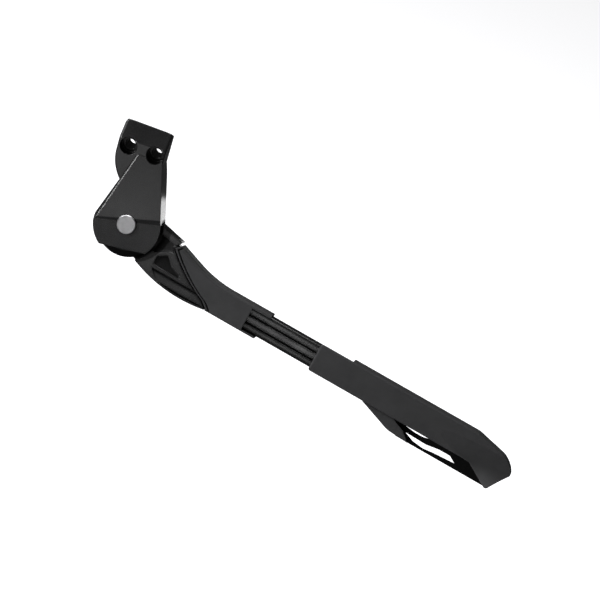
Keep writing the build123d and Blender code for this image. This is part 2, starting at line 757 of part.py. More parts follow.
loop_lean = radians(LOOP_LEAN)
loop_face = Plane(
    origin=shaft_frame.from_local_coords((0, -FOOT_HALF_H, LOOP_FRONT_W)),
    x_dir=shaft_frame.x_dir,
    z_dir=shaft_frame.z_dir * cos(loop_lean) - shaft_frame.y_dir * sin(loop_lean),
)

# thin loop whose front leans back towards its rim
with BuildPart() as foot_loop:
    with BuildSketch(shaft_frame.offset(LOOP_BACK_W)):
        with BuildLine():
            Polyline(
                (FLARE_START_U, -BORE_HALF_H),
                (FLARE_START_U, -FOOT_HALF_H),
                FLARE_KNEE,
                (LOOP_START_U, LOOP_LOW),
                (LOOP_END_U, LOOP_LOW),
                TIP_TOE,
                (TIP_TOE[0], -BORE_HALF_H),
                close=True,
            )
        make_face()
    extrude(amount=LEG_W)
    split(bisect_by=loop_face, keep=Keep.BOTTOM)


def along_front(edge):
    # true for the edges of the foot's front, but for those where the tongue meets the sleeve and the tip
    place = shaft_frame.to_local_coords(edge.center())
    joins = (FOOT_SLEEVE_U, FOOT_TIP_U)
    return place.Z > FOOT_W - FOOT_EDGE_R / 2 and min(abs(place.X - u) for u in joins) > FOOT_EDGE_R


# tongue that covers the front of the shaft
with BuildPart() as foot_tongue:
    with BuildSketch(shaft_frame.offset(LEG_W / 2 + FOOT_FIT)) as tongue:
        with BuildLine():
            Polyline(
                (FOOT_START_U, FOOT_HALF_H),
                (FOOT_SLEEVE_U, FOOT_HALF_H),
                (FOOT_SLEEVE_U, -FOOT_HALF_H),
                (FOOT_START_U, -FOOT_HALF_H),
                close=True,
            )
        make_face()
        fillet(tongue.vertices().group_by(Axis.X)[0], radius=TONGUE_R)
    extrude(amount=FOOT_WALL)
    fillet(foot_tongue.edges().filter_by(along_front), radius=FOOT_EDGE_R)

with BuildPart() as foot:
    with BuildSketch(shaft_frame):
        with BuildLine():
            Polyline(
                (FOOT_SLEEVE_U, FOOT_HALF_H),
                (FOOT_TIP_U, FOOT_HALF_H),
                (FOOT_TIP_U, -FOOT_HALF_H),
                (FOOT_SLEEVE_U, -FOOT_HALF_H),
                close=True,
            )
        make_face()
    extrude(amount=FOOT_W, both=True)
    fillet(foot.edges().filter_by(along_front), radius=FOOT_EDGE_R)
    add(foot_tongue.part)
    with BuildSketch(shaft_frame.offset(-FOOT_W)) as tip:
        with BuildLine():
            ThreePointArc(TIP_SHOULDER, TIP_BROW, TIP_NOSE)
            Polyline(
                TIP_NOSE,
                TIP_TOE,
                LIP_START,
                (FOOT_TIP_U, -FOOT_HALF_H),
                (FOOT_TIP_U, FOOT_HALF_H),
                TIP_SHOULDER,
            )
        make_face()
        nose = [tip.vertices().sort_by_distance((*point, 0))[0] for point in (TIP_NOSE, TIP_TOE)]
        fillet(nose, radius=TIP_R)
    extrude(amount=FOOT_W + LIP_FRONT_W)
    with BuildSketch(shaft_frame.offset(FOOT_W)):
        with BuildLine():
            Polyline(
                (FOOT_TIP_U, FOOT_HALF_H),
                (SCOOP_END[0], FOOT_HALF_H),
                SCOOP_END,
                (FOOT_TIP_U, SCOOP_START[1]),
                close=True,
            )
        make_face()
    extrude(amount=LIP_FRONT_W, mode=Mode.SUBTRACT)
    # shallow scoop that runs out at the tip
    with BuildSketch(Plane(origin=scoop_from, z_dir=scoop_to - scoop_from)):
        Circle(SCOOP_R)
    extrude(amount=(scoop_to - scoop_from).length, mode=Mode.SUBTRACT)
    # flared loop, deep at its upper end and thin along its rim
    add(foot_loop.part)
    with BuildSketch(shaft_frame.offset(LOOP_BACK_W)) as flare:
        with BuildLine():
            Polyline(
                (FLARE_START_U, -BORE_HALF_H),
                (FLARE_START_U, -FOOT_HALF_H),
                FLARE_KNEE,
                FLARE_END,
                FLARE_STEP,
                (FLARE_STEP_U, -FOOT_HALF_H),
                (FLARE_STEP_U, -BORE_HALF_H),
                close=True,
            )
        make_face()
        fillet(flare.vertices().sort_by_distance((*FLARE_KNEE, 0))[0], radius=FLARE_KNEE_R)
    extrude(amount=FLARE_FRONT_W - LOOP_BACK_W)
    with BuildSketch(shaft_frame.offset(-FOOT_W)):
        with BuildLine():
            Polyline(*WINDOW_POINTS, close=True)
        make_face()
        with BuildLine():
            Polyline(
                (SLIT_POINTS[0][0], -FOOT_HALF_H),
                *SLIT_POINTS,
                (SLIT_POINTS[-1][0], -FOOT_HALF_H),
                close=True,
            )
        make_face()
    extrude(amount=2 * FOOT_W, mode=Mode.SUBTRACT)
    # boss at the back for the lock screw and its captive nut
    with BuildSketch(lock_frame.offset(FOOT_W - FOOT_WALL)):
        RectangleRounded(BOSS_W, BOSS_W, BOSS_R)
    extrude(amount=FOOT_WALL + BOSS_T)
    with BuildSketch(lock_frame.offset(FOOT_W + BOSS_COVER)):
        with Locations((0, -NUT_AF / 2 - NUT_FIT)):
            Rectangle(NUT_AF + 2 * NUT_FIT, BOSS_W, align=(Align.CENTER, Align.MIN))
    extrude(amount=NUT_T + 2 * NUT_FIT, mode=Mode.SUBTRACT)
    with BuildSketch(lock_frame):
        Circle(SCREW_D / 2 + SCREW_FIT)
    extrude(amount=FOOT_W + BOSS_T, mode=Mode.SUBTRACT)
    # room for the shaft over the whole travel
    with BuildSketch(shaft_frame):
        with BuildLine():
            Polyline(
                (FOOT_START_U, BORE_HALF_H),
                (FOOT_BORE_END_U, BORE_HALF_H),
                (FOOT_BORE_END_U, -BORE_HALF_H),
                (FOOT_START_U, -BORE_HALF_H),
                close=True,
            )
        make_face()
    extrude(amount=LEG_W / 2 + FOOT_FIT, both=True, mode=Mode.SUBTRACT)
foot.part.label = "foot"
export_step(foot.part, "parts/foot.step")

# Pivot pin, bush, thrust washers and retaining ring, turned about the pin's axis
head_top = CHEEK_OUT + PIN_PROUD
ring_top = -CHEEK_OUT - SIDE_PLAY
ring_low = ring_top - RING_T - SIDE_PLAY
groove_r = PIN_D / 2 - RING_GROOVE_DEPTH

with BuildPart() as pivot_pin:
    with BuildSketch(turning):
        with BuildLine():
            Polyline(
                (0, head_top),
                (PIN_HEAD_D / 2 - PIN_CHAMFER, head_top),
                (PIN_HEAD_D / 2, head_top - PIN_CHAMFER),
                (PIN_HEAD_D / 2, head_top - PIN_HEAD_T),
                (PIN_D / 2, head_top - PIN_HEAD_T),
                (PIN_D / 2, ring_top),
                (groove_r, ring_top),
                (groove_r, ring_low),
                (PIN_D / 2, ring_low),
                (PIN_D / 2, -CHEEK_OUT - PIN_TAIL + PIN_CHAMFER),
                (PIN_D / 2 - PIN_CHAMFER, -CHEEK_OUT - PIN_TAIL),
                (0, -CHEEK_OUT - PIN_TAIL),
                close=True,
            )
        make_face()
    revolve(axis=pin_axis)
pivot_pin.part.label = "pivot_pin"
export_step(pivot_pin.part, "parts/pivot_pin.step")

with BuildPart() as pivot_bush:
    with BuildSketch(swing.offset(-LEG_W / 2)):
        Circle(BUSH_D / 2)
        Circle(PIN_D / 2 + FIT, mode=Mode.SUBTRACT)
    extrude(amount=LEG_W)
pivot_bush.part.label = "pivot_bush"
export_step(pivot_bush.part, "parts/pivot_bush.step")

with BuildPart() as front_washer:
    with BuildSketch(swing.offset(CHEEK_IN - WASHER_T)):
        Circle(WASHER_D / 2)
        Circle(PIN_D / 2 + FIT, mode=Mode.SUBTRACT)
    extrude(amount=WASHER_T)
front_washer.part.label = "front_washer"
export_step(front_washer.part, "parts/front_washer.step")

with BuildPart() as rear_washer:
    with BuildSketch(swing.offset(-CHEEK_IN)):
        Circle(WASHER_D / 2)
        Circle(PIN_D / 2 + FIT, mode=Mode.SUBTRACT)
    extrude(amount=WASHER_T)
rear_washer.part.label = "rear_washer"
export_step(rear_washer.part, "parts/rear_washer.step")

with BuildPart() as retaining_ring:
    with BuildSketch(swing.offset(ring_top - RING_T)):
        with BuildLine():
            ring_sector(groove_r + FIT, RING_D / 2, RING_GAP_ANGLE / 2, 360 - RING_GAP_ANGLE)
        make_face()
    extrude(amount=RING_T)
retaining_ring.part.label = "retaining_ring"
export_step(retaining_ring.part, "parts/retaining_ring.step")

# Detent ball and its spring in the hub
ball_w = BALL_D / 2 - BALL_PROUD - LEG_W / 2
detent_at = polar(DETENT_R, DETENT_ANGLE + LEG_DROP)
spring_r = (SPRING_D - SPRING_WIRE) / 2
spring_low = ball_w + sqrt((BALL_D / 2 + SPRING_WIRE / sqrt(2) + FIT) ** 2 - spring_r**2)
spring_top = BALL_HOLE_DEPTH - LEG_W / 2 - SPRING_WIRE / 2 - FIT
spring_height = spring_top - spring_low
coil_centre = Vector(*leg_frame.from_local_coords((*detent_at, spring_low)))

with BuildPart() as detent_ball:
    with Locations(leg_frame.from_local_coords((*detent_at, ball_w))):
        Sphere(BALL_D / 2)
detent_ball.part.label = "detent_ball"
export_step(detent_ball.part, "parts/detent_ball.step")

with BuildPart() as detent_spring:
    with BuildLine():
        coil = Helix(
            spring_height / SPRING_COILS,
            spring_height,
            spring_r,
            center=coil_centre,
            direction=leg_frame.z_dir,
        )
        coil_out = coil @ 0 - coil_centre
    with BuildSketch(Plane(origin=coil @ 0, x_dir=coil_out, z_dir=coil % 0)):
        Rectangle(SPRING_WIRE, SPRING_WIRE)
    sweep(is_frenet=True)
detent_spring.part.label = "detent_spring"
export_step(detent_spring.part, "parts/detent_spring.step")

# Lock screw of the foot and its captive nut
with BuildPart() as lock_screw:
    with BuildSketch(lock_frame.offset(LEG_W / 2 + SCREW_TIP_GAP)):
        Circle(SCREW_D / 2)
    extrude(amount=FOOT_W + BOSS_T - LEG_W / 2 - SCREW_TIP_GAP)
    with BuildSketch(lock_frame.offset(FOOT_W + BOSS_T)):
        Circle(SCREW_HEAD_D / 2)
    extrude(amount=SCREW_HEAD_T)
    head_rim = lock_screw.edges().sort_by(Axis(lock_frame.origin, lock_frame.z_dir))[-1]
    chamfer(head_rim, length=SCREW_HEAD_CHAMFER)
    with BuildSketch(lock_frame.offset(FOOT_W + BOSS_T + SCREW_HEAD_T - SCREW_SOCKET_DEPTH)):
        RegularPolygon(SCREW_SOCKET_AF / 2, 6, major_radius=False)
    extrude(amount=SCREW_SOCKET_DEPTH, mode=Mode.SUBTRACT)
lock_screw.part.label = "lock_screw"
export_step(lock_screw.part, "parts/lock_screw.step")

with BuildPart() as lock_nut:
    with BuildSketch(lock_frame.offset(FOOT_W + BOSS_COVER + NUT_FIT)):
        Rectangle(NUT_AF, NUT_AF)
        Circle(SCREW_D / 2 + FIT, mode=Mode.SUBTRACT)
    extrude(amount=NUT_T)
lock_nut.part.label = "lock_nut"
export_step(lock_nut.part, "parts/lock_nut.step")
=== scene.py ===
import json
import math

import bpy
from mathutils import Matrix, Vector

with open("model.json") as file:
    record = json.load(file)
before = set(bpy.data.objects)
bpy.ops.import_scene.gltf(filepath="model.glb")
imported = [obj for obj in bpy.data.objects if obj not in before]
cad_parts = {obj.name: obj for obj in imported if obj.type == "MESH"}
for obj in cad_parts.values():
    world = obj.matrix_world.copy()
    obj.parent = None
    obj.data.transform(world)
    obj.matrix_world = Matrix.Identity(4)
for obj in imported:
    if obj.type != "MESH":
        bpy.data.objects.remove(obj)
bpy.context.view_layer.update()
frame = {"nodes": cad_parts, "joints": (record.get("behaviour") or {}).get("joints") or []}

# Lengths are in metres and angles in degrees.
# X points to the rear of the bicycle, Y into its frame and Z up.
# A pair of numbers with the name of a zone says where a ramp begins and where it ends.

nodes = frame["nodes"]
joints = {joint["name"]: joint for joint in frame["joints"]}

# The leg's own directions: along the pin to the front, along the shaft, and up from it
pivot = Vector(joints["leg_swing"]["pos_m"])
pin_axis = -Vector(joints["leg_swing"]["axis"])
leg_line = Vector(joints["foot_slide"]["axis"])
leg_up = pin_axis.cross(leg_line)

# Camera, at the photograph's viewing angle
VIEW_DISTANCE = 1.6
VIEW_AZIMUTH = 6.2
VIEW_ELEVATION = 25.5
VIEW_ROLL = -17.75
VIEW_WIDTH = 0.37896
VIEW_ANCHOR = Vector((0, -0.015, 0))
VIEW_SHIFT_RIGHT = 0.1
VIEW_SHIFT_DOWN = 0.0942
VIEW_END = 100.0
SENSOR_MM = 36.0

# Rounds on the edges of castings and mouldings
EDGE_ANGLE = 24.0
FLAT_ANGLE = 0.5
WELD_DISTANCE = 1e-6
ROUND_SEGMENTS = 2
BRACKET_EDGE = 0.0004
LEG_EDGE = 0.0005
PLASTIC_EDGE = 0.0003

# Skins: noise of the fine grain and of the slow changes of tone
GRAIN_SCALE = 1500.0
GRAIN_DETAIL = 3.0
GRAIN_ROUGHNESS = 0.5
TONE_SCALE = 60.0
TONE_DETAIL = 4.0
TONE_ROUGHNESS = 0.6
TONE_ZONE = (0.3, 0.7)
SKIN_BUMP = 0.4
METAL_GRAIN_SCALE = 2500.0
METAL_TONE_SCALE = 300.0
METAL_RELIEF = 0.00003
METAL_BUMP = 0.3

# Edges, by how far the softened normal agrees with the face's own,
# and hollows, where shade is painted, by how open they are
RUB_WIDTH = 0.0006
RUB_ZONE = (0.99, 0.8)
HOLLOW_REACH = 0.01
HOLLOW_SAMPLES = 8
HOLLOW_ZONE = (0.85, 0.5)

# Share of metal in the painted shade of a skin, because a dark metal mirrors less than paint
# does: it dims the reflections there, though the pieces aren't bare metal
SHADED_METAL = 0.6

# Recessed loop of the foot, darkened by painted shade: how far below the pivot it begins,
# and how far its face reaches to the front
LOOP_BELOW = 0.0241
LOOP_FRONT = 0.0035
LOOP_FADE = 0.0006

# Lip of the foot's tip, painted lighter as if lit: along the leg, downwards and to the front
LIP_ALONG = (0.262, 0.274)
LIP_BELOW = (0.0195, 0.025)
LIP_FRONT = (0.003, 0.0075)

# Counterbores of the bracket, darkened by painted shade; the fade is a ratio of radii
BOLT_SPACING = 0.018
BOLT_SEAT_R = 0.0058
BOLT_SEAT_FADE = 1.03

# Round zone of the leg's hub, darkened by painted shade, by its centre beside the pivot
HUB_ALONG = 0.002
HUB_UP = 0.003
HUB_R = 0.0255
SHADE_FADE = 0.0008

# Lower strip of the shaft, darker than its ribs by painted shade:
# how far below the pivot it begins, where along the leg, and how strong its shade is
STRIP_BELOW = 0.0175
STRIP_ALONG = (0.07, 0.08)
STRIP_SHADE = 0.6

# Floor: its glow to the camera, its tone,
# and what mirrored rays see of it far in front of the object and near it
FLOOR_Z = -0.37
FLOOR_SIZE = 12.0
FLOOR_SEEN = 0.6
FLOOR_TONE = 0.8
FLOOR_ROUGHNESS = 0.9
FLOOR_FAR = 0.7
FLOOR_NEAR = 0.05
FLOOR_ZONE = (-0.75, -0.45)

# Studio that mirrored rays see: strengths, and the zones of the ray's direction where they change
AMBIENT = 0.22
STUDIO_FRONT = 0.42
STUDIO_CEILING = 0.15
STUDIO_BACK = 0.12
STUDIO_SIDES = 0.25
STUDIO_LOW = 0.4
CEILING_ZONE = (0.25, 0.75)
BACK_ZONE = (0.2, 0.9)
SIDES_ZONE = (0.3, 0.85)
LOW_ZONE = (0.06, 0.16)

# Lamps: offset from the camera's target, width and height
LAMPS = {
    "key": dict(offset=(-1.2, -0.6, 1.0), size=(1.0, 1.0), watts=9),
    "overhead": dict(offset=(-0.3, 0.35, 1.15), size=(1.0, 0.6), watts=12),
    "front_panel": dict(offset=(-0.276, -0.88, 0.1835), size=(0.09, 0.05), watts=0.034),
    "shaft_panel": dict(offset=(-0.09, -0.88, 0.1105), size=(0.06, 0.05), watts=0.056),
    "rib_panel": dict(offset=(-0.169, -0.88, 0.4315), size=(0.06, 0.04), watts=0.012),
    "left_strip": dict(offset=(-1.04, -0.70, 0.29), size=(0.3, 0.33), watts=12),
    "upper_rim": dict(offset=(-1.09, 0.26, 0.65), size=(0.4, 0.4), watts=5),
    "right_rim": dict(offset=(-0.074, 0.127, -0.0335), size=(0.03, 0.046), watts=0.010),
}

WHITE = (1, 1, 1, 1)
BLUE_TOUCH = 1.03


def grey(value):
    # neutral tone with the least touch of blue
    return (value, value, value * BLUE_TOUCH)


# dark tone of the painted shade in the hollows and the shaded zones
PAINTED_SHADE = grey(0.003)


# Nodes

def math_node(tree, operation, first, second=None):
    node = tree.nodes.new("ShaderNodeMath")
    node.operation = operation
    for socket, value in zip(node.inputs, (first, second)):
        if value is None:
            continue
        if isinstance(value, (int, float)):
            socket.default_value = value
        else:
            tree.links.new(value, socket)
    return node.outputs[0]


def dot_node(tree):
    node = tree.nodes.new("ShaderNodeVectorMath")
    node.operation = "DOT_PRODUCT"
    return node


def noise_node(tree, place, scale, detail, roughness):
    node = tree.nodes.new("ShaderNodeTexNoise")
    tree.links.new(place, node.inputs["Vector"])
    tree.links.new(scale, node.inputs["Scale"])
    node.inputs["Detail"].default_value = detail
    node.inputs["Roughness"].default_value = roughness
    return node.outputs["Fac"]


def ramp_node(tree, factor, low, high, low_value=0.0, high_value=1.0):
    node = tree.nodes.new("ShaderNodeMapRange")
    tree.links.new(factor, node.inputs["Value"])
    node.inputs["From Min"].default_value = low
    node.inputs["From Max"].default_value = high
    node.inputs["To Min"].default_value = low_value
    node.inputs["To Max"].default_value = high_value
    return node.outputs["Result"]


def colour_mix(tree, factor, first, second):
    node = tree.nodes.new("ShaderNodeMix")
    node.data_type = "RGBA"
    tree.links.new(factor, node.inputs["Factor"])
    for socket, value in ((node.inputs["A"], first), (node.inputs["B"], second)):
        if isinstance(value, tuple):
            socket.default_value = (*value, 1.0)
        else:
            tree.links.new(value, socket)
    return node.outputs["Result"]


def object_place(tree):
    return tree.nodes.new("ShaderNodeTexCoord").outputs["Object"]


def split_node(tree, vector):
    node = tree.nodes.new("ShaderNodeSeparateXYZ")
    tree.links.new(vector, node.inputs[0])
    return node.outputs


def along_node(tree, place, direction):
    # distance from the pivot in this direction
    node = dot_node(tree)
    tree.links.new(place, node.inputs[0])
    node.inputs[1].default_value = direction
    return math_node(tree, "SUBTRACT", node.outputs["Value"], pivot.dot(direction))


def distance_node(tree, first, second):
    # distance of a point whose offsets along two square directions are given
    squares = [math_node(tree, "MULTIPLY", offset, offset) for offset in (first, second)]
    return math_node(tree, "SQRT", math_node(tree, "ADD", *squares))


def bump_node(tree, height, shader, strength, distance, normal=None):
    bump = tree.nodes.new("ShaderNodeBump")
    bump.inputs["Strength"].default_value = strength
    bump.inputs["Distance"].default_value = distance
    tree.links.new(height, bump.inputs["Height"])
    if normal:
        tree.links.new(normal, bump.inputs["Normal"])
    tree.links.new(bump.outputs["Normal"], shader.inputs["Normal"])


def group_node(tree, group, **values):
    node = tree.nodes.new("ShaderNodeGroup")
    node.node_tree = group
    for name, value in values.items():
        node.inputs[name.replace("_", " ")].default_value = value
    return node


# Shared effects

def new_group(name, inputs, outputs):
    # inputs are numbers with a default; gives the group, its inputs and its outputs
    group = bpy.data.node_groups.new(name, "ShaderNodeTree")
    for socket, default in inputs.items():
        made = group.interface.new_socket(socket, in_out="INPUT", socket_type="NodeSocketFloat")
        made.default_value = default
    for socket, kind in outputs.items():
        group.interface.new_socket(socket, in_out="OUTPUT", socket_type=kind)
    given = group.nodes.new("NodeGroupInput")
    out = group.nodes.new("NodeGroupOutput")
    return group, given.outputs, out.inputs


def mask_group(name, make_mask):
    # group without inputs that puts out one mask
    group, _, out = new_group(name, {}, {"Mask": "NodeSocketFloat"})
    group.links.new(make_mask(group, object_place(group)), out["Mask"])
    return group


def make_skin_group():
    # fine relief and slow tone changes of a cast or moulded skin
    group, given, out = new_group(
        "skin",
        {"Relief Scale": GRAIN_SCALE, "Tone Scale": TONE_SCALE},
        {"Height": "NodeSocketFloat", "Tone": "NodeSocketFloat"},
    )
    place = object_place(group)
    relief = noise_node(group, place, given["Relief Scale"], GRAIN_DETAIL, GRAIN_ROUGHNESS)
    tone = noise_node(group, place, given["Tone Scale"], TONE_DETAIL, TONE_ROUGHNESS)
    group.links.new(relief, out["Height"])
    group.links.new(ramp_node(group, tone, *TONE_ZONE), out["Tone"])
    return group


def make_edge_group():
    # soft normals across the edges, and a mask of them, where paint thins and plastic polishes
    group, given, out = new_group(
        "edge_rub",
        {"Width": RUB_WIDTH},
        {"Mask": "NodeSocketFloat", "Normal": "NodeSocketVector"},
    )
    bevel = group.nodes.new("ShaderNodeBevel")
    group.links.new(given["Width"], bevel.inputs["Radius"])
    geometry = group.nodes.new("ShaderNodeNewGeometry")
    dot = dot_node(group)
    group.links.new(bevel.outputs["Normal"], dot.inputs[0])
    group.links.new(geometry.outputs["Normal"], dot.inputs[1])
    group.links.new(ramp_node(group, dot.outputs["Value"], *RUB_ZONE), out["Mask"])
    group.links.new(bevel.outputs["Normal"], out["Normal"])
    return group


def make_hollow_group():
    # mask of the hollows, where shade is painted
    group, given, out = new_group(
        "hollow_shade", {"Reach": HOLLOW_REACH}, {"Mask": "NodeSocketFloat"}
    )
    shade = group.nodes.new("ShaderNodeAmbientOcclusion")
    shade.samples = HOLLOW_SAMPLES
    group.links.new(given["Reach"], shade.inputs["Distance"])
    group.links.new(ramp_node(group, shade.outputs["AO"], *HOLLOW_ZONE), out["Mask"])
    return group


def loop_mask(group, place):
    # painted shade on the loop, which lies behind and below the plain face of the foot
    upwards = along_node(group, place, leg_up)
    below = ramp_node(group, upwards, -LOOP_BELOW, -LOOP_BELOW - LOOP_FADE)
    forwards = along_node(group, place, pin_axis)
    behind = ramp_node(group, forwards, LOOP_FRONT, LOOP_FRONT - LOOP_FADE)
    return math_node(group, "MULTIPLY", below, behind)


def lip_mask(group, place):
    # painted light on the foremost lip of the tip
    along = ramp_node(group, along_node(group, place, leg_line), *LIP_ALONG)
    below = ramp_node(group, along_node(group, place, -leg_up), *LIP_BELOW)
    front = ramp_node(group, along_node(group, place, pin_axis), *LIP_FRONT)
    return math_node(group, "MULTIPLY", math_node(group, "MULTIPLY", along, below), front)


def seat_mask(group, place):
    # painted shade in the two counterbores
    offset = split_node(group, place)
    from_middle = math_node(group, "ABSOLUTE", offset["X"])
    sideways = math_node(group, "SUBTRACT", from_middle, BOLT_SPACING / 2)
    distance = distance_node(group, sideways, offset["Z"])
    return ramp_node(group, distance, BOLT_SEAT_R * BOLT_SEAT_FADE, BOLT_SEAT_R)


def shaded_zone_mask(group, place):
    # painted shade on the hub with the top of the neck beside it, and on the lower strip of the
    # shaft
    along = along_node(group, place, leg_line)
    upwards = along_node(group, place, leg_up)
    from_hub = distance_node(
        group,
        math_node(group, "SUBTRACT", along, HUB_ALONG),
        math_node(group, "SUBTRACT", upwards, HUB_UP),
    )
    hub = ramp_node(group, from_hub, HUB_R + SHADE_FADE, HUB_R)
    below = ramp_node(group, upwards, -STRIP_BELOW + SHADE_FADE, -STRIP_BELOW)
    beyond = ramp_node(group, along, *STRIP_ALONG, 0.0, STRIP_SHADE)
    strip = math_node(group, "MULTIPLY", below, beyond)
    return math_node(group, "MAXIMUM", hub, strip)


skin = make_skin_group()
edge_rub = make_edge_group()
hollow_shade = make_hollow_group()
shaded_loop = mask_group("shaded_loop", loop_mask)
lit_lip = mask_group("lit_lip", lip_mask)
shaded_bolt_seats = mask_group("shaded_bolt_seats", seat_mask)
shaded_zones = mask_group("shaded_zones", shaded_zone_mask)


# Materials

def new_material(name):
    material = bpy.data.materials.new(name)
    material.use_nodes = True
    tree = material.node_tree
    return material, tree, tree.nodes["Principled BSDF"]


def black_skin(
    name, tones, rubbed_and_lit, roughness, grain, relief, shine, edge, reach, shaded=None, painted_light=None
):
    # black surface: tones from dark to pale, with edge wear; painted shade in the hollows and
    # shaded zones, and painted light, in the paler edge tone, on a lit zone
    material, tree, shader = new_material(name)
    surface = group_node(tree, skin, Relief_Scale=grain)
    rub = group_node(tree, edge_rub, Width=edge)
    hollows = group_node(tree, hollow_shade, Reach=reach).outputs["Mask"]
    if shaded:
        shade = group_node(tree, shaded).outputs["Mask"]
        metal = math_node(tree, "MULTIPLY", shade, SHADED_METAL)
        tree.links.new(metal, shader.inputs["Metallic"])
        hollows = math_node(tree, "MAXIMUM", hollows, shade)
    tone = colour_mix(tree, surface.outputs["Tone"], *tones)
    rubs_and_light = rub.outputs["Mask"]
    # painted light: the lit zone takes the paler tone of the edges
    if painted_light:
        rubs_and_light = math_node(tree, "MAXIMUM", rubs_and_light, group_node(tree, painted_light).outputs["Mask"])
    rubbed_and_lit_tone = colour_mix(tree, rubs_and_light, tone, rubbed_and_lit)
    colour = colour_mix(tree, hollows, rubbed_and_lit_tone, PAINTED_SHADE)
    tree.links.new(colour, shader.inputs["Base Color"])
    gloss = ramp_node(tree, surface.outputs["Tone"], 0.0, 1.0, *roughness)
    tree.links.new(gloss, shader.inputs["Roughness"])
    bump_node(tree, surface.outputs["Height"], shader, SKIN_BUMP, relief, rub.outputs["Normal"])
    shader.inputs["Specular IOR Level"].default_value = shine
    return material


def bare_metal(name, tones, roughness):
    material, tree, shader = new_material(name)
    surface = group_node(
        tree, skin, Relief_Scale=METAL_GRAIN_SCALE, Tone_Scale=METAL_TONE_SCALE
    )
    colour = colour_mix(tree, surface.outputs["Tone"], *tones)
    tree.links.new(colour, shader.inputs["Base Color"])
    gloss = ramp_node(tree, surface.outputs["Tone"], 0.0, 1.0, *roughness)
    tree.links.new(gloss, shader.inputs["Roughness"])
    shader.inputs["Metallic"].default_value = 1.0
    bump_node(tree, surface.outputs["Height"], shader, METAL_BUMP, METAL_RELIEF)
    return material


bracket_paint = black_skin(
    "bracket_paint",
    tones=(grey(0.008), grey(0.011)),
    rubbed_and_lit=grey(0.014),
    roughness=(0.18, 0.22),
    grain=900.0,
    relief=0.000012,
    shine=0.5,
    edge=0.0009,
    reach=0.004,
    # painted shade in the counterbores
    shaded=shaded_bolt_seats,
)
leg_paint = black_skin(
    "leg_paint",
    tones=(grey(0.006), grey(0.009)),
    rubbed_and_lit=grey(0.015),
    roughness=(0.14, 0.2),
    grain=700.0,
    relief=0.000012,
    shine=0.5,
    edge=0.0016,
    reach=0.008,
    # painted shade on the hub and on the shaft's lower strip
    shaded=shaded_zones,
)
cover_plastic = black_skin(
    "cover_plastic",
    tones=(grey(0.022), grey(0.034)),
    rubbed_and_lit=grey(0.042),
    roughness=(0.6, 0.7),
    grain=3200.0,
    relief=0.00008,
    shine=0.22,
    edge=0.0006,
    reach=0.002,
)
foot_plastic = black_skin(
    "foot_plastic",
    tones=(grey(0.023), grey(0.032)),
    rubbed_and_lit=grey(0.062),
    roughness=(0.6, 0.7),
    grain=3200.0,
    relief=0.00008,
    shine=0.22,
    edge=0.0006,
    reach=0.004,
    # painted shade on the loop, and painted light on the lip of the tip
    shaded=shaded_loop,
    painted_light=lit_lip,
)
pin_steel = bare_metal(
    "pin_steel", tones=((0.41, 0.41, 0.42), (0.51, 0.51, 0.52)), roughness=(0.32, 0.42)
)
washer_steel = bare_metal(
    "washer_steel", tones=((0.42, 0.42, 0.42), (0.5, 0.5, 0.5)), roughness=(0.3, 0.45)
)
spring_steel = bare_metal(
    "spring_steel", tones=((0.2, 0.2, 0.2), (0.28, 0.28, 0.28)), roughness=(0.3, 0.4)
)
ball_steel = bare_metal(
    "ball_steel", tones=((0.65, 0.65, 0.66), (0.7, 0.7, 0.7)), roughness=(0.08, 0.14)
)
bush_bronze = bare_metal(
    "bush_bronze", tones=((0.42, 0.28, 0.12), (0.52, 0.36, 0.16)), roughness=(0.35, 0.5)
)
screw_steel = bare_metal(
    "screw_steel", tones=((0.045, 0.045, 0.047), (0.07, 0.07, 0.072)), roughness=(0.35, 0.5)
)

finishes = {
    "mount_bracket": bracket_paint,
    "leg": leg_paint,
    "leg_cover": cover_plastic,
    "foot": foot_plastic,
    "pivot_pin": pin_steel,
    "front_washer": washer_steel,
    "rear_washer": washer_steel,
    "retaining_ring": spring_steel,
    "pivot_bush": bush_bronze,
    "detent_ball": ball_steel,
    "detent_spring": spring_steel,
    "lock_screw": screw_steel,
    "lock_nut": screw_steel,
}
for name, material in finishes.items():
    nodes[name].data.materials.clear()
    nodes[name].data.materials.append(material)


# Edges

def soften_edges(node, width):
    # small rounds on the sharp edges, after the triangles of each flat face are joined
    weld = node.modifiers.new("weld", "WELD")
    weld.merge_threshold = WELD_DISTANCE
    faces = node.modifiers.new("whole_faces", "DECIMATE")
    faces.decimate_type = "DISSOLVE"
    faces.angle_limit = math.radians(FLAT_ANGLE)
    rounds = node.modifiers.new("rounds", "BEVEL")
    rounds.width = width
    rounds.segments = ROUND_SEGMENTS
    rounds.limit_method = "ANGLE"
    rounds.angle_limit = math.radians(EDGE_ANGLE)
    rounds.use_clamp_overlap = True
    normals = node.modifiers.new("normals", "WEIGHTED_NORMAL")
    normals.keep_sharp = True


soften_edges(nodes["mount_bracket"], BRACKET_EDGE)
soften_edges(nodes["leg"], LEG_EDGE)
soften_edges(nodes["leg_cover"], PLASTIC_EDGE)
soften_edges(nodes["foot"], PLASTIC_EDGE)


# Stage

